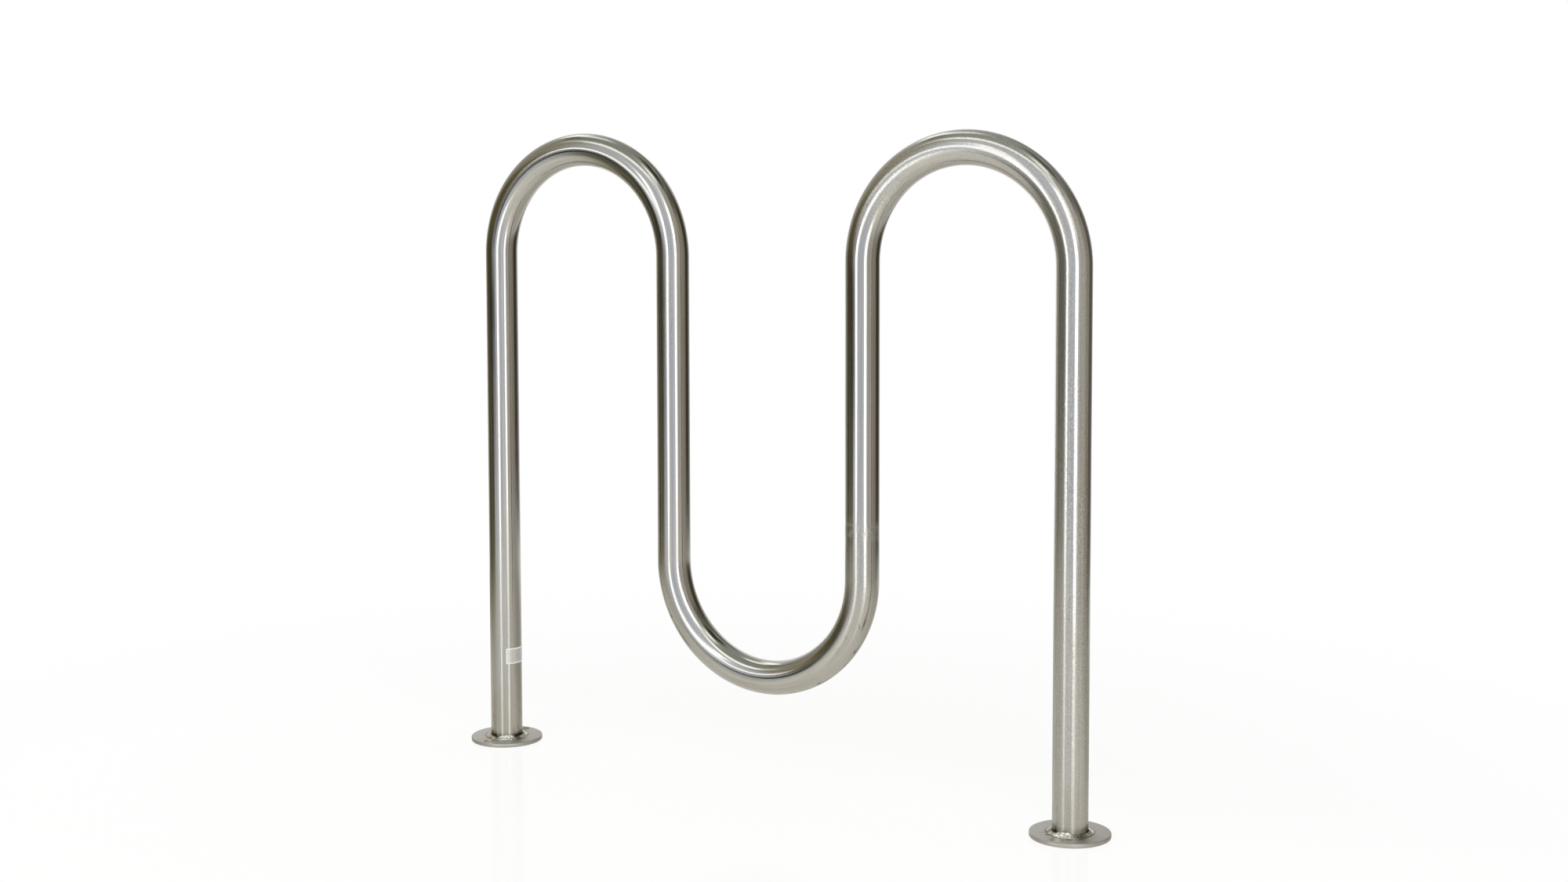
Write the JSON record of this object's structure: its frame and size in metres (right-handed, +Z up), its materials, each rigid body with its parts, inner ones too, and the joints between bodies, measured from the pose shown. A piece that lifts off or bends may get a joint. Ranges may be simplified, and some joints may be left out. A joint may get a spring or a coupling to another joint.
{
  "type": "hoop bike rack",
  "caption": "Wave-shaped bike rack of bent stainless tube: tall hoops joined by a low bend, on round base plates with anchor holes.",
  "frame": {"origin": "on the floor, midway between the two base plates", "axes": "+X runs along the rack to the right foot, +Y to the back, +Z up"},
  "size_m": [1.105, 0.1142, 0.983],
  "materials": {
    "tube_steel": "polished stainless tube with faint speckle and soft smears along its length",
    "plate_steel": "fine brushed stainless plate, satin",
    "weld_bead": "bright weld bead with heat tint at its edge",
    "sleeve_steel": "mill finish, out of sight",
    "label_film": "satin printed film, blank"
  },
  "bodies": {
    "root": {"left_bent_tube": "tube_steel", "right_bent_tube": "tube_steel", "splice_weld": "weld_bead", "splice_sleeve": "sleeve_steel", "left_base_plate": "plate_steel", "left_foot_weld": "weld_bead", "right_base_plate": "plate_steel", "right_foot_weld": "weld_bead", "blank_label": "label_film"}
  },
  "joints": []
}
